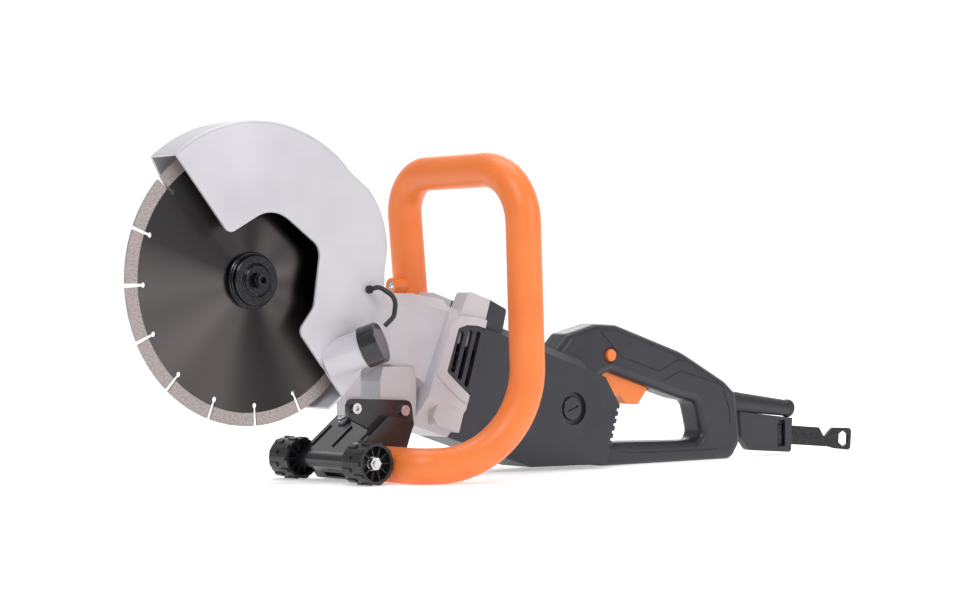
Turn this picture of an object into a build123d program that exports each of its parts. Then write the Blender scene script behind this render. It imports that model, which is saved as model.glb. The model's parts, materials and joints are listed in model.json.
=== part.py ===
"""Hand-held electric concrete cut-off saw with a 305 mm diamond disc.

Millimetres, +Z up, +X towards the rear handle, +Y towards the tool's right side.
Everything is drawn about the blade's centre and moved to the model's origin when it is saved:
the origin is on the ground, under the middle of the saw's box.
"""
import math
import os

from build123d import *

os.makedirs("parts", exist_ok=True)

# ---- driving dimensions ---------------------------------------------------------------------
SPINDLE_HEIGHT = 221.0          # blade centre above the ground
ORIGIN = (-439.6, -19.6, SPINDLE_HEIGHT)   # blade centre in the model's frame

BLADE_RADIUS = 152.5
CORE_RADIUS = 138.5
BLADE_BORE = 10.03
CORE_THICKNESS = 2.2
SEGMENT_THICKNESS = 3.2
SLOTS = 16
SLOT_PHASE = 2.5                # degrees from +X to the first slot

MOTOR_Y = 58.0                  # plane of the motor axis, from the blade's plane
MOTOR_TILT = 17.3               # the motor axis slopes down to the rear
LAYSHAFT_Y = MOTOR_Y + 28.5     # the layshaft runs beside the motor axis

GUARD_HALF = 24.0               # half the guard's width
GUARD_WALL = 3.0
GUARD_RADIUS = 167.0
NOSE_RADIUS = 29.95             # the gear head's nose, on which the guard turns
NOSE_FRONT = 20.7

SEAM = 335.0                    # gearbox to motor housing joint, along the motor axis
HOUSING_HALF = 48.0
HOUSING_TOP = 60.0
HOUSING_END = 568.0
BRUSH_A = 496.0

HANDLE_TUBE_RADIUS = 19.8
HANDLE_LEG = ((322.0, 126.0, -44.0), (302.0, 122.0, 127.0))    # the upper leg's foot and top
WHEEL_X, WHEEL_Z, WHEEL_RADIUS, WHEEL_WIDTH = 146.0, -197.0, 24.0, 34.0
LEFT_WHEEL_Y, RIGHT_WHEEL_Y = -12.5, 122.0   # the rollers' middle planes
GROUND = -SPINDLE_HEIGHT

COS_T, SIN_T = math.cos(math.radians(MOTOR_TILT)), math.sin(math.radians(MOTOR_TILT))


# ---- frames ---------------------------------------------------------------------------------
def side(y):
    """Vertical plane at this Y, with local (X, Z) and its normal towards -Y."""
    return Plane.XZ.offset(-y)


def motor_side(y):
    """Tilted plane at this Y, with local (along the motor axis, above it), normal to -Y."""
    return Plane(origin=(0, y, 0), x_dir=(COS_T, 0, -SIN_T), z_dir=(0, -1, 0))


def station(a, y=MOTOR_Y):
    """Plane across the motor's direction at distance a, with local (Y, up), normal rearward."""
    return Plane(origin=(a * COS_T, y, -a * SIN_T), x_dir=(0, 1, 0), z_dir=(COS_T, 0, -SIN_T))


def motor_point(a, b, y=MOTOR_Y):
    """The point a along the motor axis and b above it."""
    return (a * COS_T + b * SIN_T, y, -a * SIN_T + b * COS_T)


SPINDLE = Plane(origin=(0, 0, 0), x_dir=(0, 1, 0), z_dir=(1, 0, 0))
ROLLER = Plane(origin=(WHEEL_X, 0, WHEEL_Z), x_dir=(0, 1, 0), z_dir=(1, 0, 0))
ARMATURE = motor_side(MOTOR_Y)
LAYSHAFT = motor_side(LAYSHAFT_Y)
MIRROR = Plane(origin=(0, MOTOR_Y, 0), z_dir=(0, 1, 0))


# ---- helpers --------------------------------------------------------------------------------
def save(piece, name):
    """Label a finished piece, move it to the model's frame and write its STEP file."""
    piece.part.label = name
    placed = piece.part.moved(Location(ORIGIN))
    placed.label = name
    export_step(placed, f"parts/{name}.step")


def turned(frame, *profile):
    """A lathe part: (length, radius) points turned about the frame's X axis."""
    with BuildPart() as piece:
        with BuildSketch(frame):
            with BuildLine():
                Polyline(*profile, close=True)
            make_face()
        revolve(axis=Axis(frame.origin, frame.x_dir))
    return piece


def tube(frame, start, end, bore, outer):
    """A plain ring from start to end along the frame's X axis."""
    return turned(frame, (start, bore), (end, bore), (end, outer), (start, outer))


def bearing(frame, start, width, bore, outer):
    """A sealed ball bearing: its two races with the shields set back between them."""
    race = (outer - bore) * 0.3
    inset = 0.8
    return turned(frame, (start, bore), (start, bore + race), (start + inset, bore + race),
                  (start + inset, outer - race), (start, outer - race), (start, outer),
                  (start + width, outer), (start + width, outer - race),
                  (start + width - inset, outer - race), (start + width - inset, bore + race),
                  (start + width, bore + race), (start + width, bore))


def joined(*pieces):
    """Several separate pieces kept as one node."""
    with BuildPart() as group:
        for piece in pieces:
            add(piece.part)
    return group


def socket_screw(head_plane, head_radius, head_height, shank_radius, shank_length, socket):
    """A cap screw: the plane lies under its head, with the normal out of the work."""
    with BuildPart() as screw:
        with BuildSketch(head_plane):
            Circle(head_radius)
        extrude(amount=head_height)
        with BuildSketch(head_plane):
            Circle(shank_radius)
        extrude(amount=-shank_length)
        with BuildSketch(head_plane.offset(head_height)):
            RegularPolygon(socket, 6)
        extrude(amount=-head_height * 0.6, mode=Mode.SUBTRACT)
    return screw


def hex_screw(head_plane, washer_radius, across_half, head_height, shank_radius, shank_length):
    """A flanged hexagon screw: the plane lies under its washer face."""
    with BuildPart() as screw:
        with BuildSketch(head_plane):
            Circle(washer_radius)
        extrude(amount=1.4)
        with BuildSketch(head_plane):
            RegularPolygon(across_half, 6, major_radius=False)
        extrude(amount=head_height)
        with BuildSketch(head_plane):
            Circle(shank_radius)
        extrude(amount=-shank_length)
        with BuildSketch(head_plane.offset(head_height)):
            Circle(across_half * 0.55)
        extrude(amount=-0.8, mode=Mode.SUBTRACT)
    return screw


# ---- blade and its clamping set -------------------------------------------------------------
def make_blade_core():
    slot_centre = 131.3
    with BuildPart() as core:
        with BuildSketch(side(CORE_THICKNESS / 2)):
            Circle(CORE_RADIUS)
            Circle(BLADE_BORE, mode=Mode.SUBTRACT)
            with PolarLocations(slot_centre, SLOTS, start_angle=SLOT_PHASE):
                Circle(2.8, mode=Mode.SUBTRACT)
                Polygon((0, -1.2), (12, -2.0), (12, 2.0), (0, 1.2), align=None,
                        mode=Mode.SUBTRACT)
        extrude(amount=CORE_THICKNESS)
    return core


def make_blade_segments():
    inner, outer = 1.7, 2.3             # half the gap between segments, at its two ends
    start = 130
    with BuildPart() as segments:
        with BuildSketch(side(SEGMENT_THICKNESS / 2)):
            Circle(BLADE_RADIUS)
            Circle(CORE_RADIUS, mode=Mode.SUBTRACT)
            with PolarLocations(start, SLOTS, start_angle=SLOT_PHASE):
                Polygon((0, -inner), (30, -outer), (30, outer), (0, inner), align=None,
                        mode=Mode.SUBTRACT)
        extrude(amount=SEGMENT_THICKNESS)
    return segments


FLANGE_FACE = CORE_THICKNESS / 2
WASHER_FACE = -13.0
BOLT_FACE = -15.5

save(make_blade_core(), "blade_core")
save(make_blade_segments(), "blade_segments")

outer_flange = turned(SPINDLE, (-FLANGE_FACE, BLADE_BORE), (-FLANGE_FACE, 30), (-5.5, 30),
                      (-6.5, 29), (-6.5, 27.5), (-7.5, 26.6), (-12, 26.6), (WASHER_FACE, 25.6),
                      (WASHER_FACE, 18), (-12.2, 17), (WASHER_FACE, 16), (WASHER_FACE, BLADE_BORE))
save(outer_flange, "outer_flange")

inner_flange = turned(SPINDLE, (FLANGE_FACE, BLADE_BORE), (12, BLADE_BORE), (12, 16), (7, 17),
                      (5, 30), (FLANGE_FACE, 30), (FLANGE_FACE, 22), (1.8, 21), (1.8, 12),
                      (FLANGE_FACE, 11))
save(inner_flange, "inner_flange")

flange_washer = turned(SPINDLE, (BOLT_FACE, 5.2), (WASHER_FACE, 5.2), (WASHER_FACE, 15),
                       (-14.7, 15.8), (BOLT_FACE, 15))
save(flange_washer, "flange_washer")

with BuildPart() as blade_bolt:
    with BuildSketch(side(BOLT_FACE)):
        RegularPolygon(9.0, 6)
    extrude(amount=6.5)
    with BuildSketch(side(BOLT_FACE - 6.5)):
        Circle(6.6)
    extrude(amount=2.5)
    with BuildSketch(side(BOLT_FACE - 9.0)):
        RegularPolygon(4.0, 6)
    extrude(amount=-5, mode=Mode.SUBTRACT)
    with BuildSketch(side(BOLT_FACE)):
        Circle(5.0)
    extrude(amount=-36)
save(blade_bolt, "blade_bolt")

BEARING_1, BEARING_2 = 36.0, 105.0       # spindle bearings, along Y
CROWN_BACK, CROWN_SEAT = 56.0, 13.0

with BuildPart() as spindle:
    add(turned(SPINDLE, (-9, 5.05), (-9, 10), (12, 10), (12, 15), (BEARING_1, 15),
               (BEARING_1, 12.5), (54, 12.5), (54, 15.5), (CROWN_BACK, 15.5),
               (CROWN_BACK, CROWN_SEAT), (73, CROWN_SEAT), (74, 11), (BEARING_2 - 3, 11),
               (BEARING_2 - 3, 9), (BEARING_2, 8.5), (116, 8.5), (116, 0), (24, 0),
               (24, 5.05)).part)
save(spindle, "spindle")

# ---- bevel stage: a crown gear on the spindle, driven by a pinion on the layshaft ------------
CROWN_TEETH, PINION_TEETH = 25, 10
CROWN_PITCH, PINION_PITCH = 40.0, 16.0
CONE = math.hypot(CROWN_PITCH, PINION_PITCH)
FACE = 12.0
ADDENDUM, DEDENDUM = 2.1, 2.8
FLANK = math.tan(math.radians(22))
APEX = Vector(0, LAYSHAFT_Y, 0)
ALONG = Vector(COS_T, 0, -SIN_T)
CONE_OUT = (ALONG * CROWN_PITCH - Vector(0, PINION_PITCH, 0)) / CONE
CONE_UP = (ALONG * PINION_PITCH + Vector(0, CROWN_PITCH, 0)) / CONE
INNER = (CONE - FACE) / CONE            # size of a tooth's inner end over its outer end


def bevel_tooth(tip, half_width):
    """One straight bevel tooth at the pitch point, with its tip along this normal of the cone."""
    sink = 0.5
    with BuildPart() as tooth:
        for scale in (1.0, INNER):
            plane = Plane(origin=APEX + CONE_OUT * CONE * scale, x_dir=tip.cross(CONE_OUT),
                          z_dir=CONE_OUT)
            wide = half_width + DEDENDUM * FLANK
            narrow = half_width - ADDENDUM * FLANK
            up = plane.to_local_coords(plane.origin + tip).Y
            with BuildSketch(plane):
                Polygon((-wide * scale, -(DEDENDUM + sink) * up * scale),
                        (wide * scale, -(DEDENDUM + sink) * up * scale),
                        (narrow * scale, ADDENDUM * up * scale),
                        (-narrow * scale, ADDENDUM * up * scale), align=None)
        loft()
    return tooth


def cone_point(scale, height):
    """(distance along the layshaft, distance towards the blade) of a point off the pitch cone."""
    return (CROWN_PITCH * scale + PINION_PITCH / CONE * height * scale,
            PINION_PITCH * scale - CROWN_PITCH / CONE * height * scale)


crown_out = cone_point(1.0, -DEDENDUM)
crown_in = cone_point(INNER, -DEDENDUM)
crown_blank = turned(SPINDLE, (CROWN_BACK, CROWN_SEAT), (CROWN_BACK, 39.5), (62.5, 39.5),
                     (LAYSHAFT_Y - crown_out[1], crown_out[0]),
                     (LAYSHAFT_Y - crown_in[1], crown_in[0]), (72, 24), (72, CROWN_SEAT))
crown_tooth = bevel_tooth(CONE_UP, 2.0)
with BuildPart() as crown_gear:
    add(crown_blank.part)
    for k in range(CROWN_TEETH):
        add(crown_tooth.part.rotate(Axis.Y, (k + 0.5) * 360 / CROWN_TEETH))
    for k in range(12):                 # notches for the spindle lock
        with BuildSketch(Plane(origin=(0, 59.5, 0), x_dir=(0, 1, 0),
                               z_dir=Vector(0, 0, 1).rotate(Axis.Y, k * 30)).offset(34)):
            Circle(3.6)
        extrude(amount=8, mode=Mode.SUBTRACT)
save(crown_gear, "crown_gear")

pinion_out = cone_point(1.0, DEDENDUM)
pinion_in = cone_point(INNER, DEDENDUM)
pinion_blank = turned(LAYSHAFT, (pinion_in[0], 7.0), (51, 7.0), (51, 12.5), (43, 12.5),
                      (pinion_out[0], pinion_out[1]), (pinion_in[0], pinion_in[1]))
pinion_tooth = bevel_tooth(CONE_UP * -1, 2.1)
with BuildPart() as bevel_pinion:
    add(pinion_blank.part)
    for k in range(PINION_TEETH):
        add(pinion_tooth.part.rotate(Axis(APEX, ALONG), k * 360 / PINION_TEETH))
save(bevel_pinion, "bevel_pinion")

# ---- spur stage: the armature's pinion drives the layshaft's gear ---------------------------
MODULE = 1.5
LAY_TEETH, ARM_TEETH = 27, 11
SPUR_A, SPUR_WIDTH = 264.0, 12.0


def spur_gear(frame_y, teeth, start, width, bore, phase, half_width):
    """Straight spur gear across the motor's direction; phase turns the first tooth from +Y."""
    pitch_radius = MODULE * teeth / 2
    root, tip = pitch_radius - 1.25 * MODULE, pitch_radius + 0.9 * MODULE
    with BuildPart() as gear:
        with BuildSketch(station(start, frame_y)):
            Circle(root)
            with PolarLocations(pitch_radius, teeth, start_angle=phase):
                Polygon((root - 0.6 - pitch_radius, -half_width * 1.35), (0, -half_width),
                        (tip - pitch_radius, -half_width * 0.5),
                        (tip - pitch_radius, half_width * 0.5), (0, half_width),
                        (root - 0.6 - pitch_radius, half_width * 1.35), align=None)
            Circle(bore, mode=Mode.SUBTRACT)
        extrude(amount=width)
    return gear


layshaft_gear = spur_gear(LAYSHAFT_Y, LAY_TEETH, SPUR_A, SPUR_WIDTH, 8.0,
                          180 + 180 / LAY_TEETH, 0.95)
save(layshaft_gear, "layshaft_gear")
armature_pinion = spur_gear(MOTOR_Y, ARM_TEETH, SPUR_A - 1, SPUR_WIDTH + 2, 4.0, 0, 0.95)
save(armature_pinion, "armature_pinion")

LAY_BEARING_1, LAY_BEARING_2 = 54.0, 284.0
layshaft = turned(LAYSHAFT, (30.5, 0), (30.5, 7), (51, 7), (51, 11), (LAY_BEARING_1, 11),
                  (LAY_BEARING_1, 8.5), (66, 8.5), (66, 9.5), (SPUR_A - 3, 9.5),
                  (SPUR_A, 9.5), (SPUR_A, 8), (278, 8), (278, 7.5), (294, 7.5), (294, 0))
save(layshaft, "layshaft")

# ---- armature -------------------------------------------------------------------------------
ARM_BEARING_1, ARM_BEARING_2 = 284.0, 538.0
CORE_START, CORE_END = 350.0, 440.0
COMMUTATOR_RADIUS = 16.0

armature_shaft = turned(ARMATURE, (262, 0), (262, 4), (279, 4), (279, 6), (294, 6), (294, 7),
                        (530, 7), (530, 5), (549, 5), (549, 0))
save(armature_shaft, "armature_shaft")

with BuildPart() as armature_core:
    with BuildSketch(station(CORE_START)):
        Circle(27.5)
        with PolarLocations(24.5, 12):
            Rectangle(8, 4.5, mode=Mode.SUBTRACT)
        Circle(7, mode=Mode.SUBTRACT)
    extrude(amount=CORE_END - CORE_START)
save(armature_core, "armature_core")

end_turns = [turned(ARMATURE, (a, 9), (a, 21), (a + 2, 24), (a + 10, 24), (a + 12, 21), (a + 12, 9))
             for a in (CORE_START - 12.2, CORE_END + 0.2)]
save(joined(*end_turns), "armature_windings")

with BuildPart() as commutator:
    with BuildSketch(station(480)):
        Circle(COMMUTATOR_RADIUS)
        with PolarLocations(COMMUTATOR_RADIUS, 24):
            Rectangle(2, 0.6, mode=Mode.SUBTRACT)
        Circle(7, mode=Mode.SUBTRACT)
    extrude(amount=32)
    with BuildSketch(station(477)):
        Circle(COMMUTATOR_RADIUS + 2)
        Circle(7, mode=Mode.SUBTRACT)
    extrude(amount=3)
save(commutator, "commutator")

FAN_A, FAN_RADIUS = 298.0, 41.0
with BuildPart() as cooling_fan:
    add(turned(ARMATURE, (FAN_A - 1, 7), (FAN_A + 20, 7), (FAN_A + 20, 12), (FAN_A + 4, 13),
               (FAN_A + 2.5, FAN_RADIUS), (FAN_A, FAN_RADIUS), (FAN_A, 12), (FAN_A - 1, 12)).part)
    with BuildSketch(station(FAN_A + 2)):
        with PolarLocations(27, 14):
            Rectangle(25, 1.8, rotation=18)
    extrude(amount=17)
save(cooling_fan, "cooling_fan")

# ---- bearings -------------------------------------------------------------------------------
RUN = 0.03                     # radial clearance between a shaft and its bearing
save(joined(bearing(SPINDLE, BEARING_1, 15, 12.5 + RUN, 26),
            bearing(SPINDLE, BEARING_2, 11, 8.5 + RUN, 20)), "spindle_bearings")
save(joined(bearing(LAYSHAFT, LAY_BEARING_1, 10, 8.5 + RUN, 17.5),
            bearing(LAYSHAFT, LAY_BEARING_2, 9, 7.5 + RUN, 13)), "layshaft_bearings")
save(joined(bearing(ARMATURE, ARM_BEARING_1, 9, 6 + RUN, 14),
            bearing(ARMATURE, ARM_BEARING_2, 10, 5 + RUN, 13)), "armature_bearings")

# ---- stator, brushes and fan baffle ---------------------------------------------------------
STATOR_RADIUS = 42.0
with BuildPart() as stator_core:
    with BuildSketch(station(CORE_START)):
        Circle(STATOR_RADIUS)
        Circle(28.4, mode=Mode.SUBTRACT)
        with PolarLocations(33.5, 4, start_angle=45):
            Rectangle(11, 15, mode=Mode.SUBTRACT)
    extrude(amount=CORE_END - CORE_START)
save(stator_core, "stator_core")

with BuildPart() as stator_windings:
    with BuildSketch(station(CORE_START - 8)):
        with PolarLocations(34, 4, start_angle=45):
            Rectangle(8, 13.5)
    extrude(amount=CORE_END - CORE_START + 16)
save(stator_windings, "stator_windings")

BRUSH_HALF = 4.0
holders, carbons, springs, caps = [], [], [], []
for sign in (-1, 1):
    def brush_plane(distance, outward=sign):
        """Plane across a brush at this distance from the motor axis, normal away from it."""
        return Plane(origin=motor_point(BRUSH_A, 0, MOTOR_Y + outward * distance),
                     x_dir=(COS_T, 0, -SIN_T), z_dir=(0, outward, 0))

    with BuildPart() as holder:
        with BuildSketch(brush_plane(19)):
            RectangleRounded(15, 15, 2)
            Rectangle(2 * BRUSH_HALF + 0.4, 2 * BRUSH_HALF + 4.4, mode=Mode.SUBTRACT)
        extrude(amount=19)
    holders.append(holder)
    with BuildPart() as carbon:
        with BuildSketch(brush_plane(COMMUTATOR_RADIUS + 0.3)):
            Rectangle(2 * BRUSH_HALF, 2 * BRUSH_HALF + 4)
        extrude(amount=14)
    carbons.append(carbon)
    with BuildPart() as spring:
        with BuildLine() as coil:
            Helix(pitch=1.9, height=7.6, radius=2.6, center=brush_plane(30.8).origin,
                  direction=(0, sign, 0))
        with BuildSketch(Plane(origin=coil.line @ 0, z_dir=coil.line % 0)):
            Circle(0.45)
        sweep()
    springs.append(spring)
    with BuildPart() as cap:
        with BuildSketch(brush_plane(39.5)):
            Circle(9.5)
        extrude(amount=4.5)
        with BuildSketch(brush_plane(44)):
            Circle(14.2)
        extrude(amount=2.2)
        chamfer(cap.faces().sort_by(Axis.Y)[0 if sign < 0 else -1].edges(), 0.8)
        with BuildSketch(brush_plane(46.2)):
            Rectangle(18, 2.4, rotation=35)
        extrude(amount=-2, mode=Mode.SUBTRACT)
    caps.append(cap)
save(joined(*holders), "brush_holders")
save(joined(*carbons), "carbon_brushes")
save(joined(*springs), "brush_springs")
save(joined(*caps), "brush_caps")

fan_baffle = turned(ARMATURE, (321, 31), (323, 31), (330, 36), (334, 36), (334, 43.4), (321, 43.4))
save(fan_baffle, "fan_baffle")

# ---- blade guard ----------------------------------------------------------------------------
GUARD_START, GUARD_STOP = 130.3, -57.0      # angles of the rim's two ends
LOWER_RADIUS = 163.3


def polar(radius, angle):
    return (radius * math.cos(math.radians(angle)), radius * math.sin(math.radians(angle)))


def guard_rim(inset):
    """The guard's outline from its front end over the top and down to its lower end."""
    top, low = GUARD_RADIUS - inset, LOWER_RADIUS - inset
    knee = (141.5 - inset * 0.75, 100.5 - inset * 0.66)
    back = (167.2 - inset, 36.0)
    ThreePointArc(polar(top, GUARD_START), polar(top, 100), polar(top, 66))
    Line(polar(top, 66), knee)
    ThreePointArc(knee, (160.0 - inset * 0.9, 70.5 - inset * 0.45), back)
    Line(back, polar(low, 3))
    ThreePointArc(polar(low, 3), polar(low, -27), polar(low, GUARD_STOP))


def port_frame(distance):
    """Plane across the dust port, this far along its axis from the guard's face."""
    axis = Vector(0.57, -0.75, 0.34).normalized()
    return Plane(origin=Vector(100, -GUARD_HALF, -81) + axis * distance, z_dir=axis)


PORT_RADIUS, PORT_BORE, PORT_LENGTH = 20.0, 17.0, 44.0
CAP_START, CAP_LENGTH = 29.0, 20.0
PLUG = (138.7, -8.8)                    # where the cap's tether is held on the guard's face

with BuildPart() as blade_guard:
    with BuildSketch(side(GUARD_HALF)):
        with BuildLine():
            guard_rim(0)
            FilletPolyline(polar(LOWER_RADIUS, GUARD_STOP), (16, -62), (-48, -42), (-54, 30),
                           polar(GUARD_RADIUS, GUARD_START), radius=(30, 34, 22))
        make_face()
    extrude(amount=2 * GUARD_HALF)
    rim_edges = blade_guard.edges().filter_by(
        lambda e: (abs(abs(e.center().Y) - GUARD_HALF) < 0.1
                   and abs((e @ 0).Y - (e @ 1).Y) < 0.1
                   and min(math.hypot((e @ t).X, (e @ t).Z) for t in (0, 0.5, 1)) > 158))
    fillet(rim_edges, radius=5)
    with BuildSketch(port_frame(-14)):
        Circle(PORT_RADIUS)
    extrude(amount=14 + PORT_LENGTH)
    with BuildSketch(side(GUARD_HALF - GUARD_WALL)):
        with BuildLine():
            guard_rim(GUARD_WALL)
            Polyline(polar(LOWER_RADIUS - GUARD_WALL, GUARD_STOP), (60, -190), (-220, -150),
                     (-220, 180), polar(GUARD_RADIUS - GUARD_WALL, GUARD_START))
        make_face()
    extrude(amount=2 * (GUARD_HALF - GUARD_WALL), mode=Mode.SUBTRACT)
    with BuildSketch(side(-GUARD_HALF + GUARD_WALL + 0.1)):
        with BuildLine():
            FilletPolyline((-120, 142), (-42, 47), (14, 78), (75, 35.3), (66.3, -27.8),
                           (46, -53.3), (150, -180), (-250, -180), (-250, 142),
                           radius=(0, 9, 40, 18, 15, 10, 0, 0, 0), close=True)
        make_face()
    extrude(amount=20, mode=Mode.SUBTRACT)
    with BuildSketch(port_frame(-20)):
        Circle(PORT_BORE)
    extrude(amount=20 + PORT_LENGTH, mode=Mode.SUBTRACT)
    with BuildSketch(side(33.5)):
        Circle(37)
    extrude(amount=33.5 - GUARD_HALF + 1)
    with BuildSketch(side(34)):
        Circle(NOSE_RADIUS + 0.05)
    extrude(amount=30, mode=Mode.SUBTRACT)
    with BuildSketch(side(-GUARD_HALF + 4)):
        with Locations(PLUG):
            Circle(2.2)
    extrude(amount=8, mode=Mode.SUBTRACT)
save(blade_guard, "blade_guard")

with BuildPart() as dust_cap:
    with BuildSketch(port_frame(CAP_START)):
        Circle(22.5)
    extrude(amount=CAP_LENGTH)
    fillet(dust_cap.faces().sort_by(Axis(port_frame(0).origin, port_frame(0).z_dir))[-1].edges(), 1.2)
    with BuildSketch(port_frame(CAP_START)):
        Circle(PORT_RADIUS + 0.08)
    extrude(amount=CAP_LENGTH - 3.5, mode=Mode.SUBTRACT)
save(dust_cap, "dust_cap")

with BuildPart() as cap_tether:
    with BuildLine() as strap:
        FilletPolyline((PLUG[0], -GUARD_HALF - 2, PLUG[1]), (PLUG[0] + 4, -38, PLUG[1] + 3),
                       (161, -44, -18), (158, -44, -38), (148.5, -40, -48),
                       radius=(7, 14, 12))
    with BuildSketch(Plane(origin=strap.line @ 0, z_dir=strap.line % 0)):
        Circle(2.6)
    sweep()
    with BuildSketch(side(-GUARD_HALF)):
        with Locations(PLUG):
            Circle(4.4)
    extrude(amount=3.5)
    with BuildSketch(side(-GUARD_HALF)):
        with Locations(PLUG):
            Circle(2.1)
    extrude(amount=-5)
save(cap_tether, "cap_tether")

RING_SCREWS = 4
with BuildPart() as guard_ring:
    with BuildSketch(side(NOSE_FRONT)):
        Circle(36)
        Circle(17, mode=Mode.SUBTRACT)
        with PolarLocations(25.5, RING_SCREWS, start_angle=45):
            Circle(2.2, mode=Mode.SUBTRACT)
    extrude(amount=3)
save(guard_ring, "guard_ring")

ring_screws = []
for k in range(RING_SCREWS):
    x, z = polar(25.5, 45 + 90 * k)
    head = Plane(origin=(x, NOSE_FRONT - 3, z), x_dir=(1, 0, 0), z_dir=(0, -1, 0))
    ring_screws.append(socket_screw(head, 3.6, 2.6, 2.0, 11, 2.0))
save(joined(*ring_screws), "guard_ring_screws")

# ---- gearbox casting ------------------------------------------------------------------------
HEAD_RADIUS = 54.0
HEAD_FRONT, HEAD_BACK = 34.0, 106.0
BELL_START = 284.0


def rib_section(y_low, y_high, z_low, z_high, chamfer_top, chamfer_low):
    """One chamfered box section of the casting's arm, as local (Y, Z)."""
    Polygon((y_low, z_low + chamfer_low), (y_low, z_high - chamfer_top),
            (y_low + chamfer_top, z_high), (y_high - chamfer_top, z_high),
            (y_high, z_high - chamfer_top), (y_high, z_low + chamfer_low),
            (y_high - chamfer_low, z_low), (y_low + chamfer_low, z_low), align=None)


PLATE_SCREWS = ((155, -139), (223, -143))    # X, Z of the roller bracket's side screws
BRACKET_RIDGE = (196.0, -147.8)         # X, Z of the bracket's highest edge
PLATE_LEFT, PAD_LEFT = 20.5, 26.0       # its side plate's outer face, and the pad's

# X of each section, then its Y range, Z range and the upper and lower chamfers
ARM_SECTIONS = ((40, 38, 106, -62, 36, 10, 10), (110, 38, 106, -84, 2, 12, 12),
                (175, 37, 106, -101, -12, 12, 14), (215, 34, 104, -108, -12, 12, 16),
                (250, 26, 102, -126, -12, 13, 18), (285, 12, 104, -158, -19, 14, 18))


def bell_outline():
    """The gearbox's rear opening: a flat-sided octagon with a drawn-down sump."""
    Polygon((-HOUSING_HALF, -47), (-HOUSING_HALF, 50), (-38, HOUSING_TOP), (38, HOUSING_TOP),
            (HOUSING_HALF, 50), (HOUSING_HALF, -47), (26, -80), (-26, -80), align=None)


VENT = ((295, 38), (306, 45), (322, 49), (SEAM + 9, 50), (SEAM + 9, -30), (SEAM - 2, -30),
        (312, -22), (293, -14))
VENT_FRAME = ((282, 43), (299, 55), (322, 60), (SEAM, 60), (SEAM, -41), (326, -41), (303, -33),
              (279, -22))

def bracket_top(x):
    """Height of the joint between the casting's pads and the roller bracket."""
    return BRACKET_RIDGE[1] - (0.206 * (x - BRACKET_RIDGE[0]) if x > BRACKET_RIDGE[0] - 10 else 0)


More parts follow.
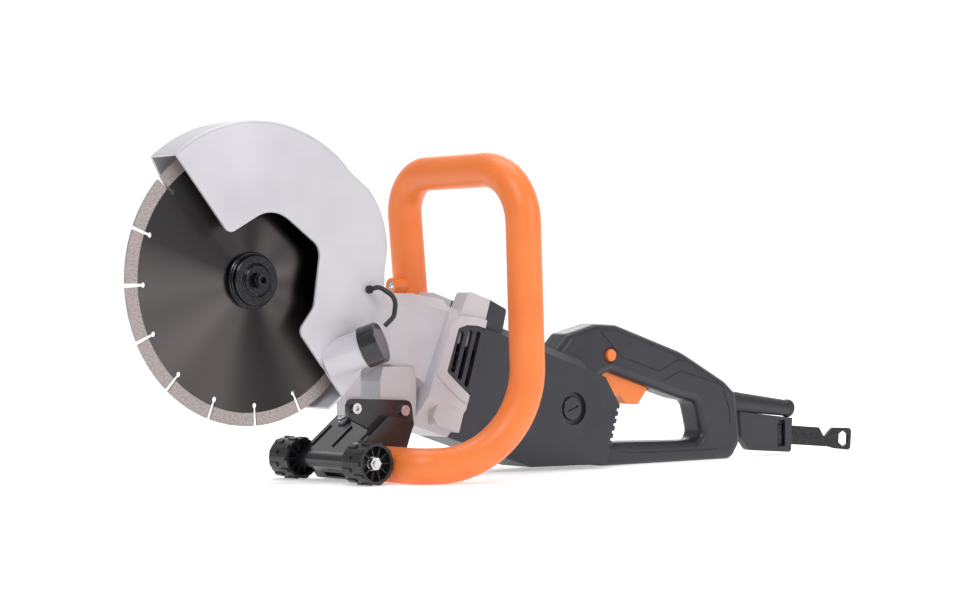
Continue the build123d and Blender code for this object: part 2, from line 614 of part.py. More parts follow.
with BuildPart() as gearbox_housing:
    with BuildSketch(side(HEAD_BACK)):
        Circle(HEAD_RADIUS)
    extrude(amount=HEAD_BACK - HEAD_FRONT)
    for x, *section in ARM_SECTIONS:
        with BuildSketch(Plane(origin=(x, 0, 0), x_dir=(0, 1, 0), z_dir=(1, 0, 0))):
            rib_section(*section)
    loft(ruled=True)
    with BuildSketch(station(BELL_START - 6)):
        bell_outline()
    extrude(amount=SEAM - BELL_START + 6)
    # the pad under the arm that carries the roller bracket
    for front, back, near, far in ((147, 167, PAD_LEFT, 44), (194, 246, PAD_LEFT, 62),
                                   (206, 246, 62, 92)):
        top = -84 if back < 180 else -94
        with BuildSketch(side(far)):
            with BuildLine():
                FilletPolyline((front, top - 16), (front + 4, top), (back - 4, top),
                               (back, top - 16), (back, bracket_top(back) + 0.5),
                               (front, bracket_top(front) + 0.5), radius=(4, 3, 3, 4, 2, 2), close=True)
            make_face()
        extrude(amount=far - near)
    # the saddle that holds the front handle's upper end
    with BuildSketch(motor_side(MOTOR_Y + 58)):
        with BuildLine():
            FilletPolyline((298, 40), (298, 76), (306, 84), (SEAM, 84), (SEAM, 40),
                           radius=(3, 5, 4, 0, 0), close=True)
        make_face()
    extrude(amount=30)
    # raised frames round the side vents, and the four corner bosses of the seam
    for sign in (-1, 1):
        with BuildSketch(motor_side(MOTOR_Y + sign * (HOUSING_HALF - 2))):
            with BuildLine():
                FilletPolyline(*VENT_FRAME, radius=(6, 6, 6, 0, 0, 6, 6, 6), close=True)
            make_face()
        extrude(amount=-sign * 4.5, taper=20)
    for start, low, high in ((296, 46, 84), (293, -74, -34)):
        for sign in (-1, 1):
            inner = MOTOR_Y + sign * 24
            outer = MOTOR_Y + sign * 45
            with BuildSketch(motor_side(max(inner, outer))):
                with BuildLine():
                    FilletPolyline((start, low + 8), (start + 6, high), (SEAM, high), (SEAM, low),
                                   (start + 8, low), radius=(2, 4, 0, 0, 3), close=True)
                make_face()
            extrude(amount=21)
    # room for the handle's leg
    foot, top = (Vector(*point) for point in HANDLE_LEG)
    with BuildSketch(Plane(origin=foot, z_dir=top - foot).offset(-60)):
        Circle(HANDLE_TUBE_RADIUS + 0.1)
    extrude(amount=200, mode=Mode.SUBTRACT)
    # the guard's nose
    with BuildSketch(side(HEAD_FRONT)):
        Circle(NOSE_RADIUS)
    extrude(amount=HEAD_FRONT - NOSE_FRONT)
    # machined bores
    add(tube(SPINDLE, 51, HEAD_BACK, 0, 45.5).part, mode=Mode.SUBTRACT)
    add(tube(SPINDLE, 30, 52, 0, 26).part, mode=Mode.SUBTRACT)
    add(tube(SPINDLE, 10, 31, 0, 17.5).part, mode=Mode.SUBTRACT)
    add(tube(LAYSHAFT, 20, 50, 0, 20.5).part, mode=Mode.SUBTRACT)
    add(tube(LAYSHAFT, 49, 64, 0, 17.5).part, mode=Mode.SUBTRACT)
    add(tube(LAYSHAFT, 63, 258, 0, 15).part, mode=Mode.SUBTRACT)
    add(tube(LAYSHAFT, 257, 281, 0, 24).part, mode=Mode.SUBTRACT)
    add(tube(ARMATURE, 257, 281, 0, 13).part, mode=Mode.SUBTRACT)
    add(tube(ARMATURE, 280, SEAM, 0, 43.5).part, mode=Mode.SUBTRACT)
    for sign in (-1, 1):
        with BuildSketch(motor_side(MOTOR_Y + sign * 36)):
            with BuildLine():
                FilletPolyline(*VENT, radius=4, close=True)
            make_face()
        extrude(amount=-sign * 20, mode=Mode.SUBTRACT)
    for k in range(RING_SCREWS):
        x, z = polar(25.5, 45 + 90 * k)
        with BuildSketch(side(NOSE_FRONT)):
            with Locations((x, z)):
                Circle(2.0)
        extrude(amount=-9, mode=Mode.SUBTRACT)
    with BuildSketch(Plane(origin=(0, 59.5, 40), x_dir=(0, 1, 0), z_dir=(0, 0, 1))):
        Circle(4.05)
    extrude(amount=20, mode=Mode.SUBTRACT)
    with BuildSketch(side(PAD_LEFT)):       # threaded holes for the roller bracket
        with Locations(*PLATE_SCREWS):
            Circle(3.0)
    extrude(amount=-14, mode=Mode.SUBTRACT)
save(gearbox_housing, "gearbox_housing")

GEAR_COVER_SCREWS = 6
with BuildPart() as gearbox_cover:
    add(turned(SPINDLE, (HEAD_BACK, 0), (HEAD_BACK, HEAD_RADIUS), (HEAD_BACK + 5, HEAD_RADIUS),
               (HEAD_BACK + 7, HEAD_RADIUS - 2), (HEAD_BACK + 8, 34), (HEAD_BACK + 14, 27),
               (HEAD_BACK + 15, 0)).part)
    add(tube(SPINDLE, HEAD_BACK - 1, BEARING_2 + 11.5, 0, 20).part, mode=Mode.SUBTRACT)
    with BuildSketch(side(HEAD_BACK + 10)):
        with PolarLocations(49.6, GEAR_COVER_SCREWS, start_angle=30):
            Circle(2.1)
    extrude(amount=20, mode=Mode.SUBTRACT)
save(gearbox_cover, "gearbox_cover")

cover_screws = []
for k in range(GEAR_COVER_SCREWS):
    x, z = polar(49.6, 30 + 60 * k)
    head = Plane(origin=(x, HEAD_BACK + 7.6, z), x_dir=(1, 0, 0), z_dir=(0, 1, 0))
    cover_screws.append(socket_screw(head, 3.8, 4.0, 2.0, 7.2, 2.1))
save(joined(*cover_screws), "gearbox_cover_screws")

with BuildPart() as bearing_plate:
    with BuildSketch(station(281)):
        Circle(43.3)
    extrude(amount=12)
    with BuildSketch(station(285.5)):
        Circle(44)
        Circle(18, mode=Mode.SUBTRACT)
        with Locations((LAYSHAFT_Y - MOTOR_Y, 0)):
            Circle(16.5, mode=Mode.SUBTRACT)
    extrude(amount=10, mode=Mode.SUBTRACT)
    add(tube(ARMATURE, ARM_BEARING_1, 296, 0, 14.02).part, mode=Mode.SUBTRACT)
    add(tube(ARMATURE, 280, 296, 0, 11).part, mode=Mode.SUBTRACT)
    add(tube(LAYSHAFT, LAY_BEARING_2, 296, 0, 13.02).part, mode=Mode.SUBTRACT)
    add(tube(LAYSHAFT, 280, 296, 0, 9.5).part, mode=Mode.SUBTRACT)
save(bearing_plate, "bearing_plate")

# ---- spindle lock ---------------------------------------------------------------------------
LOCK_Y = 59.5
with BuildPart() as spindle_lock_button:
    lock = Plane(origin=(0, LOCK_Y, 0), x_dir=(1, 0, 0), z_dir=(0, 0, 1))
    with BuildSketch(lock.offset(40.8)):
        Circle(3.3)
    extrude(amount=8)
    with BuildSketch(lock.offset(46)):
        Circle(4.0)
    extrude(amount=18)
    with BuildSketch(lock.offset(62)):
        Circle(9)
    extrude(amount=7)
    chamfer(spindle_lock_button.faces().sort_by(Axis.Z)[-1].edges(), 1.5)
save(spindle_lock_button, "spindle_lock_button")

# ---- motor housing --------------------------------------------------------------------------
HOUSING_PANEL = ((502, 50), (553, 22), (554, -21), (504, -35))   # rear end, seen from the side
HOUSING_BOTTOM = -216.0


def housing_blank():
    """The motor housing without its bores."""
    with BuildPart() as blank:
        with BuildSketch(station(SEAM)):
            bell_outline()
        extrude(amount=HOUSING_END - SEAM)
        with BuildSketch(motor_side(200)):
            Polygon((502, 90), HOUSING_PANEL[0], HOUSING_PANEL[1], HOUSING_PANEL[2],
                    HOUSING_PANEL[3], (504, -120), (640, -120), (640, 90), align=None)
        extrude(amount=300, mode=Mode.SUBTRACT)
        for inner, outer, length in ((41, 84, 27), (-26, -74, 22)):
            slope = math.copysign(3, outer)
            for sign in (-1, 1):
                with BuildSketch(motor_side(MOTOR_Y + max(sign * 24, sign * 45))):
                    with BuildLine():
                        FilletPolyline((SEAM, inner), (SEAM, outer), (SEAM + length, outer - slope),
                                       (SEAM + length + 2, inner), radius=(0, 0, 4, 0), close=True)
                    make_face()
                extrude(amount=21)
        with BuildSketch(Plane.XY.offset(HOUSING_BOTTOM)):
            with Locations((400, MOTOR_Y)):
                Rectangle(600, 200)
        extrude(amount=-80, mode=Mode.SUBTRACT)
    return blank


with BuildPart() as motor_housing:
    add(housing_blank().part)
    add(tube(ARMATURE, SEAM - 1, 452, 0, 43.5).part, mode=Mode.SUBTRACT)
    add(tube(ARMATURE, 451, 530, 0, 36).part, mode=Mode.SUBTRACT)
    add(tube(ARMATURE, 529, 548, 0, 13.02).part, mode=Mode.SUBTRACT)
    add(tube(ARMATURE, 547, 552, 0, 8).part, mode=Mode.SUBTRACT)
    for sign in (-1, 1):
        for depth, size in ((24, 15.05),):
            with BuildSketch(Plane(origin=motor_point(BRUSH_A, 0, MOTOR_Y + sign * 17),
                                   x_dir=(COS_T, 0, -SIN_T), z_dir=(0, sign, 0))):
                Rectangle(size, size)
            extrude(amount=depth, mode=Mode.SUBTRACT)
        for reach, radius in ((38, 9.55), (43.5, 19.5)):
            with BuildSketch(Plane(origin=motor_point(BRUSH_A, 0, MOTOR_Y + sign * reach),
                                   x_dir=(COS_T, 0, -SIN_T), z_dir=(0, sign, 0))):
                Circle(radius)
            extrude(amount=12, mode=Mode.SUBTRACT)
    # the stator's carrier ring
    with BuildSketch(station(CORE_START)):
        Circle(44)
        Circle(STATOR_RADIUS + 0.02, mode=Mode.SUBTRACT)
    extrude(amount=CORE_END - CORE_START)
save(motor_housing, "motor_housing")

with BuildPart() as vent_louvres:
    for sign in (-1, 1):
        with BuildSketch(motor_side(MOTOR_Y + sign * (HOUSING_HALF - 4.5))):
            with BuildLine():
                FilletPolyline((295.3, 37.8), (306, 44.8), (322, 48.8), (SEAM, 49.5),
                               (SEAM, -29.8), (312, -21.8), (293.3, -13.8), radius=3.6, close=True)
            make_face()
        extrude(amount=-sign * 4.5)
        with BuildSketch(motor_side(MOTOR_Y + sign * (HOUSING_HALF + 2))):
            for a, low, high in ((303, -12, 37), (315, -17, 42), (327, -22, 44)):
                with Locations((a, (low + high) / 2)):
                    SlotOverall(high - low, 6.5, rotation=90)
        extrude(amount=sign * 12, mode=Mode.SUBTRACT)
save(vent_louvres, "vent_louvres")

# ---- rear handle: two shells that meet on the motor plane -----------------------------------
GRIP_HALF = 20.0
HANDLE_OUTER = ((466, -86), (494, -59), (541, -47.5), (575, -49), (690, -84), (768, -122),
                (787, -137), (796, -200), (780, GROUND), (556, GROUND), (500, -216), (480, -150))
HANDLE_INNER = ((540, -114), (563, -106.5), (640, -129), (684, -141.5), (714, -147),
                (728, -195.5), (540, -191))
TRIGGER_PIVOT = (561, -98)
BUTTON = (560, -86)
SLEEVE_START, SLEEVE_DROP = (779.0, MOTOR_Y, -147.0), 6.3
SLEEVE_AXIS = (math.cos(math.radians(SLEEVE_DROP)), 0, -math.sin(math.radians(SLEEVE_DROP)))
SLEEVE = Plane(origin=SLEEVE_START, x_dir=SLEEVE_AXIS, z_dir=(0, -1, 0))

GRIP_SEAMS = (((543, -56), (562, -73), (579, -88), (644, -107), (677, -93), (690, -95)),
              ((650, -119), (682, -107), (757, -126), (772, -160), (772, -176)),
              ((575, -203), (600, -206), (700, -207), (748, -207)))
HANDLE_SCREWS = ((520, -72), (652, -93), (766, -206), (672, -207), (578, -206))


def handle_shell():
    """The left shell of the rear handle, from the motor plane to its outer face."""
    with BuildPart() as loop:
        with BuildSketch(side(MOTOR_Y)):
            with BuildLine():
                FilletPolyline(*HANDLE_OUTER, close=True,
                               radius=(12, 12, 16, 22, 120, 30, 14, 25, 14, 12, 12, 12))
            make_face()
            with BuildLine():
                FilletPolyline(*HANDLE_INNER, radius=(12, 10, 30, 40, 14, 12, 12), close=True)
            make_face(mode=Mode.SUBTRACT)
        extrude(amount=GRIP_HALF)
        fillet(loop.faces().sort_by(Axis.Y)[0].edges(), 10)
        for route in GRIP_SEAMS:            # the edges of the soft panels
            with BuildSketch(side(MOTOR_Y - GRIP_HALF)):
                with BuildLine():
                    FilletPolyline(*route, radius=7)
                trace(line_width=1.3)
            extrude(amount=-0.8, mode=Mode.SUBTRACT)
    with BuildPart() as shell:
        # the cup behind the motor housing
        with BuildSketch(station(470)):
            bell_outline()
        extrude(amount=HOUSING_END - 470)
        with BuildSketch(motor_side(MOTOR_Y + 100)):
            Polygon((536, 60), (536, 49), (HOUSING_END, 24), (600, 24), (600, 90), (536, 90),
                    align=None)
            Polygon((440, 50), (440, -120), (500, -120), (500, 50), align=None)
            Polygon((440, 49.99), (500, 50), (538, 50), (538, 90), (440, 90), align=None)
        extrude(amount=300, mode=Mode.SUBTRACT)
        add(tube(ARMATURE, 540, HOUSING_END - 5, 0, 38).part, mode=Mode.SUBTRACT)
        add(loop.part)
        add(housing_blank().part, mode=Mode.SUBTRACT)
        with BuildSketch(Plane.XY.offset(HOUSING_BOTTOM)):
            with Locations((480, MOTOR_Y)):
                Rectangle(140, 300)
        extrude(amount=-60, mode=Mode.SUBTRACT)
        with BuildSketch(side(MOTOR_Y + 200)):
            with Locations((600, -150)):
                Rectangle(600, 500)
        extrude(amount=200, mode=Mode.SUBTRACT)
    return shell


SWITCH_CAVITY = ((478, -84), (500, -67), (545, -54.5), (573, -56), (640, -76), (640, -112),
                 (566, -92), (545, -96), (510, -92))
GRIP_CAVITY = ((620, -72), (688, -92), (764, -129), (764, -140), (716, -134), (684, -128),
               (620, -108))
BAR_CAVITY = ((585, -198), (770, -203), (770, -213), (585, -213))


def finished_shell(which):
    """One half of the rear handle, hollowed out, with its holes; which is left or right."""
    with BuildPart() as shell:
        add(handle_shell().part)
        for outline, depth in ((SWITCH_CAVITY, 16), (GRIP_CAVITY, 12), (BAR_CAVITY, 12)):
            with BuildSketch(side(MOTOR_Y + 1)):
                Polygon(*outline, align=None)
            extrude(amount=depth + 1, mode=Mode.SUBTRACT)
        # the trigger's slot, the sleeve's seat and the screw holes
        with BuildSketch(side(MOTOR_Y + 1)):
            Polygon((552, -125), (552, -90), (645, -105), (641.5, -135), align=None)
        extrude(amount=9.5, mode=Mode.SUBTRACT)
        add(tube(SLEEVE, -16, 40, 0, 13.2).part, mode=Mode.SUBTRACT)
        add(tube(SLEEVE, -8, -2, 0, 16.2).part, mode=Mode.SUBTRACT)
        with BuildSketch(side(MOTOR_Y + 1)):
            with Locations(*HANDLE_SCREWS):
                Circle(2.2)
        extrude(amount=12 if which == "left" else GRIP_HALF + 20, mode=Mode.SUBTRACT)
        with BuildSketch(side(MOTOR_Y + 1)):
            with Locations(TRIGGER_PIVOT):
                Circle(2.0)
        extrude(amount=13.2, mode=Mode.SUBTRACT)
        for k in range(6):              # air slots in the rear edge of the cup
            with BuildSketch(station(HOUSING_END - 3.2)):
                with Locations((-HOUSING_HALF + 10, 18 - 9.2 * k)):
                    Rectangle(40, 3.6)
            extrude(amount=20, mode=Mode.SUBTRACT)
        if which == "left":
            with BuildSketch(side(MOTOR_Y + 1)):
                with Locations(BUTTON):
                    Circle(7.55)
            extrude(amount=40, mode=Mode.SUBTRACT)
            with BuildSketch(side(MOTOR_Y - GRIP_HALF + 2)):
                with Locations(BUTTON):
                    Circle(10)
            extrude(amount=10, mode=Mode.SUBTRACT)
    return shell


handle_shell_left = finished_shell("left")
save(handle_shell_left, "handle_shell_left")
with BuildPart() as handle_shell_right:
    mirror(finished_shell("right").part, about=MIRROR)
save(handle_shell_right, "handle_shell_right")

handle_screws = []
for x, z in HANDLE_SCREWS:
    head = Plane(origin=(x, MOTOR_Y + GRIP_HALF + 0.1, z), x_dir=(1, 0, 0), z_dir=(0, 1, 0))
    handle_screws.append(socket_screw(head, 4.0, 2.4, 2.15, 30, 1.9))
save(joined(*handle_screws), "handle_screws")

with BuildPart() as trigger:
    with BuildSketch(side(MOTOR_Y + 8)):
        with BuildLine():
            FilletPolyline((552.5, -119.5), (562, -104), (566, -97), (572, -97), (638, -114.5),
                           (634.5, -130), (619, -148), (599, -147), (590, -136.5), (577, -132),
                           (563, -127.5), radius=(2, 6, 2, 2, 2, 3, 5, 6, 12, 12, 4), close=True)
        make_face()
    extrude(amount=16)
    with BuildSketch(side(MOTOR_Y + 9)):
        with Locations(TRIGGER_PIVOT):
            Circle(2.05)
    extrude(amount=18, mode=Mode.SUBTRACT)
save(trigger, "trigger")

with BuildPart() as trigger_pin:
    with BuildSketch(side(MOTOR_Y + 12)):
        with Locations(TRIGGER_PIVOT):
            Circle(2.0)
    extrude(amount=24)
save(trigger_pin, "trigger_pin")

with BuildPart() as lock_off_button:
    with BuildSketch(side(MOTOR_Y - 8)):
        with Locations(BUTTON):
            Circle(7.5)
    extrude(amount=15.5)
    chamfer(lock_off_button.faces().sort_by(Axis.Y)[0].edges(), 0.8)
save(lock_off_button, "lock_off_button")

with BuildPart() as switch_module:
    with BuildSketch(side(MOTOR_Y + 11)):
        Polygon((576, -62), (636, -81), (636, -98), (576, -88), align=None)
    extrude(amount=22)
save(switch_module, "switch_module")

with BuildPart() as soft_start_module:
    with BuildSketch(side(MOTOR_Y + 9)):
        Polygon((668, -90), (716, -113), (710, -126), (662, -112), align=None)
    extrude(amount=18)
save(soft_start_module, "soft_start_module")

# ---- cable sleeve, wrench holder and wrench -------------------------------------------------
SLEEVE_LENGTH = 128.0
cable_sleeve = turned(SLEEVE, (-8, 5.2), (-8, 16), (-2.1, 16), (-2.1, 13), (24, 13), (32, 12.6),
                      (120, 10.6), (123, 11.8), (SLEEVE_LENGTH - 1, 11.8),
                      (SLEEVE_LENGTH, 10.8), (SLEEVE_LENGTH, 5.2))
save(cable_sleeve, "cable_sleeve")

HOLDER_LEFT, WRENCH_THICKNESS = 53.0, 4.0     # holder's left face, along Y
WRENCH_LEFT = HOLDER_LEFT + 3.4
WRENCH_TILT = 4.5
WRENCH = Plane(origin=(838, WRENCH_LEFT + WRENCH_THICKNESS, -190.5),
               x_dir=(math.cos(math.radians(WRENCH_TILT)), 0, -math.sin(math.radians(WRENCH_TILT))),
               z_dir=(0, -1, 0))
HOLDER = ((806, -166), (810, -196), (826, -213), (906, -218.5), (909, -170))

with BuildPart() as wrench_holder:
    with BuildSketch(side(HOLDER_LEFT + 11)):
        with BuildLine():
            FilletPolyline((806, -160), *HOLDER[1:4], (909, -161), radius=(2, 9, 12, 5, 2),
                           close=True)
        make_face()
    extrude(amount=11)
    # the pocket that the wrench slides into, and the window in front of it
    with BuildSketch(Plane(origin=(WRENCH.origin.X, WRENCH_LEFT + WRENCH_THICKNESS + 0.3,
                                   WRENCH.origin.Z), x_dir=WRENCH.x_dir, z_dir=(0, -1, 0))):
        with Locations((50, 0)):
            Rectangle(106, 26.6)
    extrude(amount=WRENCH_THICKNESS + 0.6, mode=Mode.SUBTRACT)
    with BuildSketch(side(HOLDER_LEFT + 5)):
        with Locations((886.5, -193)):
            RectangleRounded(16, 35, 3)
    extrude(amount=10, mode=Mode.SUBTRACT)
    add(tube(SLEEVE, 20, 140, 0, 13.05).part, mode=Mode.SUBTRACT)
save(wrench_holder, "wrench_holder")

with BuildPart() as wrench:
    with BuildSketch(WRENCH):
        with BuildLine():
            FilletPolyline((0, -12.5), (0, 12.5), (127, 12.5), (139, -0.5), (155, 13.5),
                           (190, 14.5), (193.5, 11), (193.5, -12), (190, -15), (162, -14.5),
                           (150, -12.5), radius=(3, 3, 2, 4, 4, 3, 2, 3, 3, 4, 4), close=True)
        make_face()
        with Locations((178, 0)):
            RegularPolygon(9.8, 6, major_radius=False, rotation=30, mode=Mode.SUBTRACT)
    extrude(amount=WRENCH_THICKNESS)
save(wrench, "wrench")

# ---- wrap-round front handle ----------------------------------------------------------------
BRACKET_LEFT, BRACKET_RIGHT = 12.0, 104.0    # the roller bracket's two ends, along Y
HANDLE_PATH = (*HANDLE_LEG, (304, -87, 127),
               (317, -86, -201), (192, -46, -201), (190, BRACKET_LEFT + 4, -201))
HANDLE_RADII = (50, 62, 105, 22)

EAR_RADIUS = 9.5
EAR = Plane(origin=(284, 120, -3), x_dir=(0, 1, 0), z_dir=(-1, 0, 0))



def handle_end_cut():
    """A block that trims the handle's lower end flush with the roller bracket."""
    with BuildPart() as cut:
        with BuildSketch(side(BRACKET_LEFT)):
            with Locations((190, -201)):
                Rectangle(80, 80)
        extrude(amount=-30)
    return cut


with BuildPart() as handle_core:
    with BuildLine() as path:
        FilletPolyline(*HANDLE_PATH, radius=HANDLE_RADII)
    with BuildSketch(Plane(origin=path.line @ 0, z_dir=path.line % 0)):
        Circle(12.5)
        Circle(10.5, mode=Mode.SUBTRACT)
    sweep()
    add(handle_end_cut().part, mode=Mode.SUBTRACT)
save(handle_core, "front_handle_tube")

with BuildPart() as front_handle_grip:
    with BuildSketch(Plane(origin=path.line @ 0, z_dir=path.line % 0)):
        Circle(HANDLE_TUBE_RADIUS)
        Circle(12.5, mode=Mode.SUBTRACT)
    sweep(path=path.line)
    add(handle_end_cut().part, mode=Mode.SUBTRACT)
    # the screwed ear at the upper end, and the through bolt's seat at the lower end
    with BuildSketch(EAR):
        Circle(EAR_RADIUS)
    extrude(amount=-20)
    with BuildSketch(EAR):
        Circle(EAR_RADIUS - 3.5)
    extrude(amount=-5, mode=Mode.SUBTRACT)
    with BuildSketch(EAR):
        Circle(3.05)
    extrude(amount=-11.8, mode=Mode.SUBTRACT)
save(front_handle_grip, "front_handle_grip")
save(socket_screw(EAR.offset(-5), 5.5, 4.5, 3.0, 6.5, 3.0), "front_handle_screw")

# ---- roller bracket, axle and rollers -------------------------------------------------------
FACE_SCREW_Y = (35.5, 80.5)

# the plane of the bracket's sloping front face, with local (Y, up the slope)
SLOPE = Plane(origin=(186, 0, -155.5), x_dir=(0, 1, 0), z_dir=(-0.611, 0, 0.792))

with BuildPart() as roller_bracket:
    with BuildSketch(side(BRACKET_RIGHT)):
        with BuildLine():
            FilletPolyline((146, -206), (140, -191), BRACKET_RIDGE, (232, bracket_top(232)), (222, -182),
                           (212, -212), (204, -219.5), (166, -219.5), (158, -210),
                           radius=(7, 7, 2, 3, 8, 6, 6, 5, 3), close=True)
        make_face()
    extrude(amount=BRACKET_RIGHT - BRACKET_LEFT)
    with BuildSketch(side(BRACKET_RIGHT + 1)):
        with Locations((WHEEL_X, WHEEL_Z)):
            Circle(9.5)
    extrude(amount=BRACKET_RIGHT - BRACKET_LEFT + 5)
    with BuildSketch(side(PAD_LEFT)):
        with BuildLine():
            FilletPolyline((145, -128), (234, -132), (239, -165), (180, -165), (145, -149),
                           radius=(9, 9, 6, 3, 9), close=True)
        make_face()
    extrude(amount=PAD_LEFT - PLATE_LEFT)
    # lobes round the two screws in the sloping face
    with BuildSketch(SLOPE.offset(-8)):
        for y in FACE_SCREW_Y:
            with Locations((y, 0)):
                Circle(9)
    extrude(amount=9.5)
    # stiffening ribs on the sloping face, and the recess under the axle
    with BuildSketch(SLOPE.offset(-1)):
        for y in (20, 58, 96):
            with Locations((y, 26)):
                Rectangle(2.2, 34)
    extrude(amount=2.6)
    with BuildSketch(side(84)):
        Polygon((150, -212), (170, -212), (170, -216.5), (150, -216.5), align=None)
    extrude(amount=52, mode=Mode.SUBTRACT)
    # the hollow back of the moulding, and its screw and axle holes
    with BuildSketch(side(BRACKET_RIGHT - 6)):
        Polygon((186, -163), (222, -163), (205, -213), (170, -213), (162, -188), align=None)
    extrude(amount=40, mode=Mode.SUBTRACT)
    with BuildSketch(side(PAD_LEFT + 1)):
        with Locations(*PLATE_SCREWS):
            Circle(3.1)
    extrude(amount=9, mode=Mode.SUBTRACT)
    with BuildSketch(SLOPE.offset(4)):
        with Locations(*[(y, 0) for y in FACE_SCREW_Y]):
            Circle(3.1)
    extrude(amount=-30, mode=Mode.SUBTRACT)
    add(tube(ROLLER, -20, 140, 0, 4.02).part, mode=Mode.SUBTRACT)
save(roller_bracket, "roller_bracket")

bracket_screws = []
for x, z in PLATE_SCREWS:
    head = Plane(origin=(x, PLATE_LEFT, z), x_dir=(1, 0, 0), z_dir=(0, -1, 0))
    bracket_screws.append(socket_screw(head, 6.0, 4.0, 3.0, 16, 3.0))
for y in FACE_SCREW_Y:
    head = Plane(origin=SLOPE.from_local_coords((y, 0, 1.5)),
                 x_dir=SLOPE.x_dir, z_dir=SLOPE.z_dir)
    bracket_screws.append(hex_screw(head, 6.5, 5.0, 5.0, 3.0, 16))
save(joined(*bracket_screws), "bracket_screws")

AXLE_START = LEFT_WHEEL_Y - WHEEL_WIDTH / 2 - 1
AXLE_END = RIGHT_WHEEL_Y + WHEEL_WIDTH / 2 + 1
roller_axle = turned(ROLLER, (AXLE_START, 0), (AXLE_START, 4), (AXLE_END, 4), (AXLE_END, 0))
save(roller_axle, "roller_axle")

WHEEL_DISH = 9.0                # how far each face of a roller is dished
end_nuts, washers = [], []
for sign, centre in ((-1, LEFT_WHEEL_Y), (1, RIGHT_WHEEL_Y)):
    face = centre + sign * (WHEEL_WIDTH / 2 - WHEEL_DISH + 0.5)
    outer = face + sign * 1.2
    washers.append(turned(ROLLER, (face, 4.0), (outer, 4.0), (outer, 7.5), (face, 7.5)))
    plane = Plane(origin=(WHEEL_X, outer, WHEEL_Z), x_dir=(1, 0, 0), z_dir=(0, sign, 0))
    with BuildPart() as nut:
        with BuildSketch(plane):
            RegularPolygon(6.5, 6, major_radius=False)
            Circle(4.0, mode=Mode.SUBTRACT)
        extrude(amount=6)
    end_nuts.append(nut)
save(joined(*washers), "axle_washers")
save(joined(*end_nuts), "axle_nuts")


def roller(centre_y):
    """One roller: ten thin spokes and a knobby tread."""
    tread = 20
    with BuildPart() as wheel:
        plane = side(centre_y + WHEEL_WIDTH / 2)
        with BuildSketch(plane.offset(0)):
            with Locations((WHEEL_X, WHEEL_Z)):
                Circle(WHEEL_RADIUS - 1.6)
                Circle(4.05, mode=Mode.SUBTRACT)
        extrude(amount=WHEEL_WIDTH)
        for k in range(tread):          # staggered tread blocks
            lean = k * 360 / tread
            spot = Plane(origin=(WHEEL_X, centre_y, WHEEL_Z), x_dir=(0, 1, 0),
                         z_dir=Vector(0, 0, 1).rotate(Axis.Y, lean))
            with BuildSketch(spot.offset(WHEEL_RADIUS - 3)):
                with Locations((-8.5 if k % 2 else 8.5, 0)):
                    Rectangle(13.5, 4.6)
            extrude(amount=3)
        for sign in (-1, 1):            # dished faces with spokes
            with BuildSketch(side(centre_y + sign * (WHEEL_WIDTH / 2))):
                with Locations((WHEEL_X, WHEEL_Z)):
                    Circle(WHEEL_RADIUS - 5)
                    Circle(8, mode=Mode.SUBTRACT)
            extrude(amount=sign * 9, mode=Mode.SUBTRACT)
            with BuildSketch(side(centre_y + sign * (WHEEL_WIDTH / 2))):
                with Locations((WHEEL_X, WHEEL_Z)):
                    Circle(8.01)
            extrude(amount=sign * 9.01, mode=Mode.SUBTRACT)
            for k in range(10):
                arm = Plane(origin=(WHEEL_X, centre_y + sign * (WHEEL_WIDTH / 2 - 9.5), WHEEL_Z),
                            x_dir=Vector(1, 0, 0).rotate(Axis.Y, k * 36), z_dir=(0, sign, 0))
                with BuildSketch(arm):
                    with Locations((14.5, 0)):
                        Rectangle(12, 1.2)
                extrude(amount=7.5)
    return wheel


save(roller(LEFT_WHEEL_Y), "wheel_left")
save(roller(RIGHT_WHEEL_Y), "wheel_right")
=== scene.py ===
"""Materials, studio and camera for the concrete cut-off saw."""
import json
import math

import bmesh
import bpy
from mathutils import Matrix, Vector

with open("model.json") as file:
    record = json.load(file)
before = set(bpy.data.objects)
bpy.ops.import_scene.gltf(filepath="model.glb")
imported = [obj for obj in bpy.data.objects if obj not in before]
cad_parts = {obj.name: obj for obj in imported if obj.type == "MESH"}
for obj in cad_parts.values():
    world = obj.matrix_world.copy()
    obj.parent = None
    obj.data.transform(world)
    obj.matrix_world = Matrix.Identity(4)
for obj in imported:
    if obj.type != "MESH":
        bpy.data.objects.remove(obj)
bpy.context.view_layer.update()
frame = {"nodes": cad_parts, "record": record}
NODES = frame["nodes"]

MM = 0.001
ORIGIN = Vector((-439.6, -19.6, 221.0))      # blade centre in the model's frame, mm


def at(x, y, z):
    """A point given from the blade's centre in mm, as metres in the model's frame."""
    return (Vector((x, y, z)) + ORIGIN) * MM


